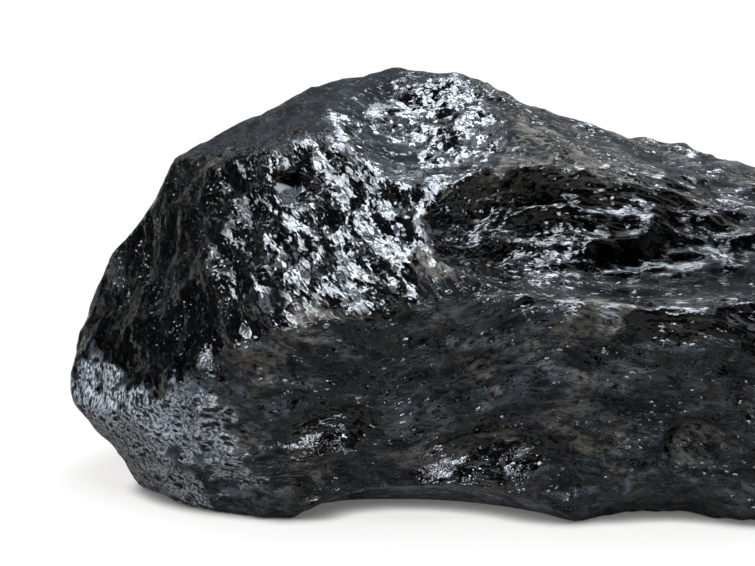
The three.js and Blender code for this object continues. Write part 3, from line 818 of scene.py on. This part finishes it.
def laid_grain(n):
    """Places in the lattice of the nearest lay: a hard choice where a lay's share passes a half, so that
    no pattern is squeezed between two lays."""
    first, *others = LAYS
    chosen = turned_grain(n, first)
    for lay in others:
        near = n.math("GREATER_THAN", n.attribute(lay).outputs["Fac"], 0.5)
        chosen = n.mix(near, chosen, turned_grain(n, lay), "VECTOR")
    return chosen


def glint_cells(n):
    """Small cells drawn out along X in the stone's grain, bent by waves, and the place in their lattice."""
    grain = n.attribute("grain").outputs["Vector"]
    wave = n.add("TexNoise", noise_dimensions="3D")
    n.join(grain, wave.inputs["Vector"])
    wave.inputs["Scale"].default_value = GLINT_WAVES
    bent = n.vector("MULTIPLY_ADD", wave.outputs["Color"], (GLINT_WAVE_REACH,) * 3, grain)
    place = n.scaled(bent, GLINT_SQUEEZE)
    return n.cells(place, 1 / GLINT_SIZE), place


def cleavage_glints(n, here):
    """Small cleavage facets that all face nearly one way: which cells have one, chosen by their colour,
    and their height, which falls along the shared facing and a little along each cell's colour."""
    cells, place = glint_cells(n)
    parts = n.add("SeparateXYZ")
    n.join(cells.outputs["Color"], parts.inputs[0])
    draw = n.math("FRACT", n.math("MULTIPLY", parts.outputs["X"], GLINT_DRAW))
    share = n.math("MULTIPLY", here["glints"], n.ramp(here["blotch"], *GLINT_ZONE))
    chosen = n.math("LESS_THAN", draw, share)
    squeeze = np.array(GLINT_SQUEEZE)
    steady = GLINT_SLOPE * facing(*GLINT_FACING) - GLINT_SPREAD / 2
    slope = n.vector("MULTIPLY_ADD", cells.outputs["Color"], GLINT_SPREAD / squeeze, steady / squeeze)
    fall = n.vector("DOT_PRODUCT", n.vector("SUBTRACT", cells.outputs["Position"], place), slope)
    return chosen, n.math("MULTIPLY", fall, chosen)


def surface_values(n):
    """What the patterns are made from at each place: the mesh's own traits, the grain, and three noises in
    the grain, which are broad blotches, small specks and long veins."""
    here = {name: n.attribute(name).outputs["Fac"] for name in FINISHES + ("ridge",)}
    grain = laid_grain(n)
    here["grain"] = grain
    here["blotch"] = n.noise(n.scaled(grain, SQUEEZES["blotches"]), scale=0.12, detail=7.0, rough=0.66)
    here["speck"] = n.noise(grain, scale=0.7, detail=4.0, rough=0.65)
    here["veins"] = n.noise(n.scaled(grain, SQUEEZES["veins"]), scale=0.16, detail=7.0, rough=0.72)
    return here


def film_share(n, here, glint):
    """Share of the slate film: where crust, blotches and specks add up to enough, less the black cracks
    and the glints in it."""
    # The film is painted light where the undercut and the eye's band take a high tone, and painted shade
    # where the wall's foot and the eye's hollow take a dark, dull one
    edge = n.math("MULTIPLY_ADD", here["blotch"], BLOTCH_IN_FILM, here["crust"])
    edge = n.math("ADD", here["speck"], edge)
    cracks = n.lines(n.scaled(here["grain"], SQUEEZES["cracks"]), scale=0.24, width=0.024)
    film = n.math("MULTIPLY", n.ramp(edge, *FILM_EDGE), n.math("SUBTRACT", 1.0, cracks))
    return n.math("MULTIPLY", film, n.math("SUBTRACT", 1.0, glint))


def veil_share(n, here):
    """Share of the brown veil: veins and worn ridges, broken up by specks and stronger where the kind is
    veiled, and thin lines along the grain."""
    veil = n.ramp(n.math("MULTIPLY_ADD", here["veil"], VEIL_IN_VEINS, here["veins"]), *VEIL_EDGE)
    veil = n.math("MULTIPLY", veil, n.ramp(here["veil"], *VEIL_LEAST))
    worn = n.math("MULTIPLY", n.ramp(here["ridge"], *WORN_RIDGE), n.ramp(here["veins"], *WORN_VEINS))
    veil = n.math("MAXIMUM", veil, n.math("MULTIPLY", worn, WORN_VEIL))
    veil = n.math("MULTIPLY", veil, n.ramp(here["speck"], *VEIL_SPECKS))
    veil = n.math("MULTIPLY", veil, n.ramp(here["veil"], *VEIL_FULL))
    threads = n.lines(n.scaled(here["grain"], SQUEEZES["threads"]), scale=0.07, width=0.012)
    threads = n.math("MULTIPLY", threads, n.math("MULTIPLY", here["veil"], THREAD_VEIL))
    return n.math("MAXIMUM", veil, threads)


def wisp_share(n, here):
    """Share of the pale wisps: long thin lines, where the blotches are high."""
    wisps = n.lines(n.scaled(here["grain"], SQUEEZES["wisps"]), scale=0.30, width=0.016)
    return n.math("MULTIPLY", wisps, n.math("MULTIPLY", here["wisps"], n.ramp(here["blotch"], *WISP_ZONE)))


def pit_shares(n, here):
    """Share of the pitted skin, and of the pits, which are the middles of long cells in that skin."""
    cells = n.cells(n.scaled(here["grain"], SQUEEZES["pits"]), scale=0.62)
    skin = n.ramp(n.math("MULTIPLY_ADD", here["blotch"], BLOTCH_IN_SKIN, here["pits"]), *PIT_SKIN)
    away = n.math("MULTIPLY_ADD", here["speck"], SPECK_IN_PIT, cells.outputs["Distance"])
    return skin, n.math("MULTIPLY", skin, n.ramp(away, *PIT_RIM))


def quartz_colour(n, here, share, finish):
    """Black glass, then the slate film in its uneven tone, the veil, the wisps, the dust of the pitted skin
    and the black pits, each laid over the last by its share."""
    glass, veil, dust = ((*colour, 1.0) for colour in (finish.glass, finish.veil, finish.dust))
    # The tone is painted light on the undercut and the eye's band, and painted shade at the wall's foot
    pale = n.math("MULTIPLY", here["tone"], n.ramp(here["speck"], *FILM_SPECKS))
    pale = n.math("MULTIPLY", pale, n.ramp(here["veins"], *FILM_VEINS))
    colour = n.mix(share["film"], glass, n.times(finish.slate, pale))
    colour = n.mix(share["veil"], colour, veil)
    colour = n.mix(n.math("MULTIPLY", wisp_share(n, here), WISP_DUST), colour, dust)
    grains = n.noise(here["grain"], scale=1.5, detail=3.0, rough=0.6)
    colour = n.mix(n.math("MULTIPLY", share["skin"], n.ramp(grains, *DUST_GRAINS)), colour, dust)
    return n.mix(n.math("MULTIPLY", share["pit"], PIT_DARK), colour, glass)


def quartz_gloss(n, here, share, finish):
    """Tint of the gloss, which film and veil take away, and the roughness that they add."""
    dulled = n.math("MAXIMUM", share["film"], share["veil"])
    # The gloss that patches take away on the temple, the eye and the wall hollow is painted shade
    fresh = n.times((1.0, 1.0, 1.0), n.math("MAXIMUM", here["gloss"], share["glint"]))
    tint = n.mix(dulled, fresh, (*finish.film_gloss, 1.0))
    rough = n.math("MULTIPLY_ADD", share["film"], FILM_ROUGH, GLASS_ROUGH)
    rough = n.math("MULTIPLY_ADD", share["veil"], VEIL_ROUGH, rough)
    return tint, n.math("MULTIPLY_ADD", here["speck"], SPECK_ROUGH, rough, clamp=True)


def quartz_relief(n, here, share, finish):
    """Height in millimetres of what is too fine to model: facets of three sizes on the bare glass, the
    grain and thickness of the film, the pits and the lean of the glints."""
    grain = here["grain"]
    facets = n.math("ADD", n.facets(grain, *COARSE_FACETS), n.facets(grain, *MIDDLE_FACETS))
    facets = n.math("ADD", n.facets(grain, *FINE_FACETS), facets)
    bare = n.math("MULTIPLY_ADD", n.math("MAXIMUM", share["film"], share["glint"]), -FACET_LOSS, 1.0)
    facets = n.math("MULTIPLY", facets, n.math("MULTIPLY", here["facets"], bare))
    grains = n.noise(grain, scale=1.3, detail=3.0, rough=0.6)
    grains = n.math("MULTIPLY", grains, n.math("MULTIPLY_ADD", share["film"], FILM_GRAIN, GLASS_GRAIN))
    height = n.math("ADD", n.math("MULTIPLY", facets, finish.flake_bump), grains)
    height = n.math("MULTIPLY_ADD", share["film"], FILM_THICKNESS, height)
    height = n.math("MULTIPLY_ADD", share["pit"], PIT_HEIGHT, height)
    return n.math("ADD", height, share["lean"])


def quartz_material(finish):
    """Black glassy quartz with slate film, brown veils, pale wisps, pits and fine flakes. All patterns are
    in millimetres of the stone's own grain, which runs with its flakes."""
    material, n, shader = new_material("black_quartz")
    here = surface_values(n)
    share = {"veil": veil_share(n, here)}
    share["glint"], share["lean"] = cleavage_glints(n, here)
    share["film"] = film_share(n, here, share["glint"])
    share["skin"], share["pit"] = pit_shares(n, here)
    tint, rough = quartz_gloss(n, here, share, finish)
    n.join(quartz_colour(n, here, share, finish), shader.inputs["Base Color"])
    n.join(tint, shader.inputs["Specular Tint"])
    n.join(rough, shader.inputs["Roughness"])
    shader.inputs["IOR"].default_value = finish.refraction
    shader.inputs["Specular IOR Level"].default_value = GLASS_GLOSS
    bump = n.add("Bump")
    bump.inputs["Strength"].default_value = 1.0
    bump.inputs["Distance"].default_value = MM
    n.join(quartz_relief(n, here, share, finish), bump.inputs["Height"])
    n.join(bump.outputs["Normal"], shader.inputs["Normal"])
    return material


class MORION_OT_stone(bpy.types.Operator):
    """Build the lump of black quartz in place of its plain solid."""

    bl_idname = "morion.stone"
    bl_label = "Raw Morion"

    def execute(self, context):
        shape, finish = context.scene.morion_shape, context.scene.morion_finish
        points, grain, traits = stone_surface(shape)
        low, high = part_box(STONE_NODE)
        middle = (points.min(0) + points.max(0)) / 2
        points[:, :2] += (np.array(low + high)[:2] / 2 / MM) - middle[:2]
        mesh = fill_mesh("morion_stone", points * MM, *stone_faces(shape.rings, shape.ring_points))
        add_attribute(mesh, "grain", grain)
        for name, values in traits.items():
            add_attribute(mesh, name, values)
        mesh.materials.append(quartz_material(finish))
        stone = bpy.data.objects.new("morion_stone", mesh)
        context.scene.collection.objects.link(stone)
        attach(stone, "root")
        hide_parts(STONE_NODE)
        return {"FINISHED"}


# ----------------------------------------------------------------------------------------------------------
# Table, lamps and camera
# ----------------------------------------------------------------------------------------------------------

TABLE_HALF = 5.0
# The table's glow is painted light that keeps it white; where the stone is near, it dips as a painted
# shadow
TABLE_GLOW_COLOR = (1.0, 0.985, 0.96, 1.0)
TABLE_NEAR, TABLE_FAR = 0.12, 1.3  # the table's glow grows between these distances from the middle
CONTACT_SHADOW_GLOW = 0.15  # share of the glow that is left where the stone touches the table
SHUT, OPEN = 0.2, 0.8  # how open to the air a place on the table is where that share is left, and where all
TABLE_ROUGH, TABLE_GLOSS = 0.9, 0.1
ROOM_GLOW, BACKDROP_GLOW = 0.025, 0.8
BACKDROP_START, BACKDROP_FULL = 0.35, 0.95  # how far along +Y a direction leans where the backdrop sets in
LAMP_COLOR = (0.82, 0.91, 1.0)
LAMP_AIM = (-0.02, -0.01, 0.05)
LAMP_STEP = 0.02  # each lamp hangs this much over the one before, so that no two lie in one plane
SENSOR_WIDTH = 36.0


def table_material(settings):
    """Pale and dull, with a soft glow of painted light, less right beside the stone and more far away."""
    material, n, shader = new_material("pale_table")
    shader.inputs["Base Color"].default_value = (*settings.table_color, 1.0)
    shader.inputs["Roughness"].default_value = TABLE_ROUGH
    shader.inputs["Specular IOR Level"].default_value = TABLE_GLOSS
    shader.inputs["Emission Color"].default_value = TABLE_GLOW_COLOR
    # Painted shadow: the glow is dimmed where the stone closes the table in
    contact_shade = n.add("AmbientOcclusion", samples=8)
    contact_shade.inputs["Distance"].default_value = settings.contact_shadow
    length = n.vector("LENGTH", n.add("TexCoord").outputs["Object"])
    # Painted light: the glow grows far from the middle, where the lamps fall off
    glow = n.ramp(length, TABLE_NEAR, TABLE_FAR, settings.table_glow, 1.0)
    unshadowed = n.ramp(contact_shade.outputs["AO"], SHUT, OPEN, CONTACT_SHADOW_GLOW, 1.0)
    n.join(n.math("MULTIPLY", glow, unshadowed), shader.inputs["Emission Strength"])
    return material


def add_table(settings):
    """A flat square table under the stone."""
    mesh = bpy.data.meshes.new("table")
    corners = [(TABLE_HALF * x, TABLE_HALF * y, 0) for x, y in ((-1, -1), (1, -1), (1, 1), (-1, 1))]
    mesh.from_pydata(corners, [], [(0, 1, 2, 3)])
    mesh.materials.append(table_material(settings))
    table = bpy.data.objects.new("table", mesh)
    bpy.context.scene.collection.objects.link(table)


def add_lamp(name, place, side, glow):
    """A square lamp that faces the stone; its power is pi times its area times its radiance."""
    data = bpy.data.lights.new(name, "AREA")
    data.shape = "SQUARE"
    data.size = side
    data.energy = math.pi * side * side * glow
    data.color = LAMP_COLOR
    lamp = bpy.data.objects.new(name, data)
    bpy.context.scene.collection.objects.link(lamp)
    lamp.location = place
    lamp.rotation_euler = (Vector(LAMP_AIM) - place).to_track_quat("-Z", "Y").to_euler()


def add_world():
    """Dim all round, and bright low down behind the stone."""
    world = bpy.data.worlds.new("studio")
    world.use_nodes = True
    n = Nodes(world.node_tree)
    axes = n.add("SeparateXYZ")
    n.join(n.add("TexCoord").outputs["Generated"], axes.inputs[0])
    behind = n.ramp(axes.outputs["Y"], BACKDROP_START, BACKDROP_FULL, ROOM_GLOW, BACKDROP_GLOW)
    n.join(behind, world.node_tree.nodes["Background"].inputs["Color"])
    bpy.context.scene.world = world


def add_camera(settings):
    """A camera that looks down a little on the stone's broken front."""
    data = bpy.data.cameras.new("camera")
    data.lens = settings.lens
    data.sensor_width = SENSOR_WIDTH
    camera = bpy.data.objects.new("camera", data)
    bpy.context.scene.collection.objects.link(camera)
    target = Vector(settings.camera_target)
    tilt = settings.camera_elevation
    camera.location = target + settings.camera_distance * Vector((0.0, -math.cos(tilt), math.sin(tilt)))
    camera.rotation_euler = (target - camera.location).to_track_quat("-Z", "Y").to_euler()
    bpy.context.scene.camera = camera


class MORION_OT_stage(bpy.types.Operator):
    """Set up the pale table, the five lamps, the studio around them and the camera."""

    bl_idname = "morion.stage"
    bl_label = "Table and Lamps"

    def execute(self, context):
        settings = context.scene.morion_stage
        add_table(settings)
        lamps = (
            ("core", settings.core_place, settings.core_size, settings.core_glow),
            ("top", settings.top_place, settings.top_size, settings.top_glow),
            ("front", settings.front_place, settings.front_size, settings.front_glow),
            ("lamp", settings.lamp_place, settings.lamp_size, settings.lamp_glow),
            ("fill", settings.top_place, settings.fill_size, settings.fill_glow),
        )
        for i, (name, place, side, glow) in enumerate(lamps):
            add_lamp(name, Vector(place) + Vector((0.0, 0.0, LAMP_STEP * i)), side, glow)
        add_world()
        add_camera(settings)
        context.scene.view_settings.view_transform = "Standard"
        return {"FINISHED"}


class MORION_PT_workshop(bpy.types.Panel):
    """Builds the stone and its table from the sidebar."""

    bl_label = "Raw Morion"
    bl_idname = "MORION_PT_workshop"
    bl_space_type = "VIEW_3D"
    bl_region_type = "UI"
    bl_category = "Morion"

    def draw(self, context):
        groups = (
            (context.scene.morion_shape, MorionShape),
            (context.scene.morion_finish, MorionFinish),
            (context.scene.morion_stage, MorionStage),
        )
        self.layout.operator(MORION_OT_stone.bl_idname)
        self.layout.operator(MORION_OT_stage.bl_idname)
        for settings, group in groups:
            column = self.layout.box().column()
            for name in group.__annotations__:
                column.prop(settings, name)


CLASSES = (MorionShape, MorionFinish, MorionStage, MORION_OT_stone, MORION_OT_stage, MORION_PT_workshop)


def register():
    """Tell Blender of the settings, the operators and the panel."""
    for item in CLASSES:
        bpy.utils.register_class(item)
    bpy.types.Scene.morion_shape = bpy.props.PointerProperty(type=MorionShape)
    bpy.types.Scene.morion_finish = bpy.props.PointerProperty(type=MorionFinish)
    bpy.types.Scene.morion_stage = bpy.props.PointerProperty(type=MorionStage)


def unregister():
    """Take them away again, last first."""
    del bpy.types.Scene.morion_stage
    del bpy.types.Scene.morion_finish
    del bpy.types.Scene.morion_shape
    for item in reversed(CLASSES):
        bpy.utils.unregister_class(item)


def main():
    """Build the stone, then the stage around it."""
    register()
    bpy.ops.morion.stone()
    bpy.ops.morion.stage()


if __name__ == "__main__":
    main()
